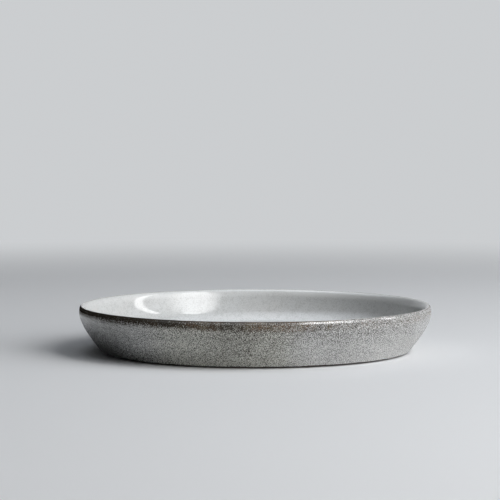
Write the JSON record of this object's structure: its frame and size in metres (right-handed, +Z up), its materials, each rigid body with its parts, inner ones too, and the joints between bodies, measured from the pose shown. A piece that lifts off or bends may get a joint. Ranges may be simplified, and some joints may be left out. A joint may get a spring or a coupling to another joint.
{
  "type": "salad plate",
  "caption": "Shallow round stoneware salad plate: flared wall with a rounded lip, pale glossy inside, speckled grey outside, brown rim and a low bare foot ring.",
  "frame": {"origin": "bottom centre, on the plane of the foot ring and the axis of the plate", "axes": "+Z up along the plate's axis, +X to the right and +Y away as the picture shows the plate"},
  "size_m": [0.216, 0.216, 0.0282],
  "materials": {
    "stoneware": "matte",
    "pale_glaze": "gloss",
    "speckled_glaze": "satin",
    "iron_band": "satin",
    "base_coat": "satin"
  },
  "bodies": {
    "root": {"stoneware_body": "stoneware", "inner_glaze": "pale_glaze", "outer_glaze": "speckled_glaze", "rim_band": "iron_band", "base_glaze": "base_coat"}
  },
  "joints": []
}
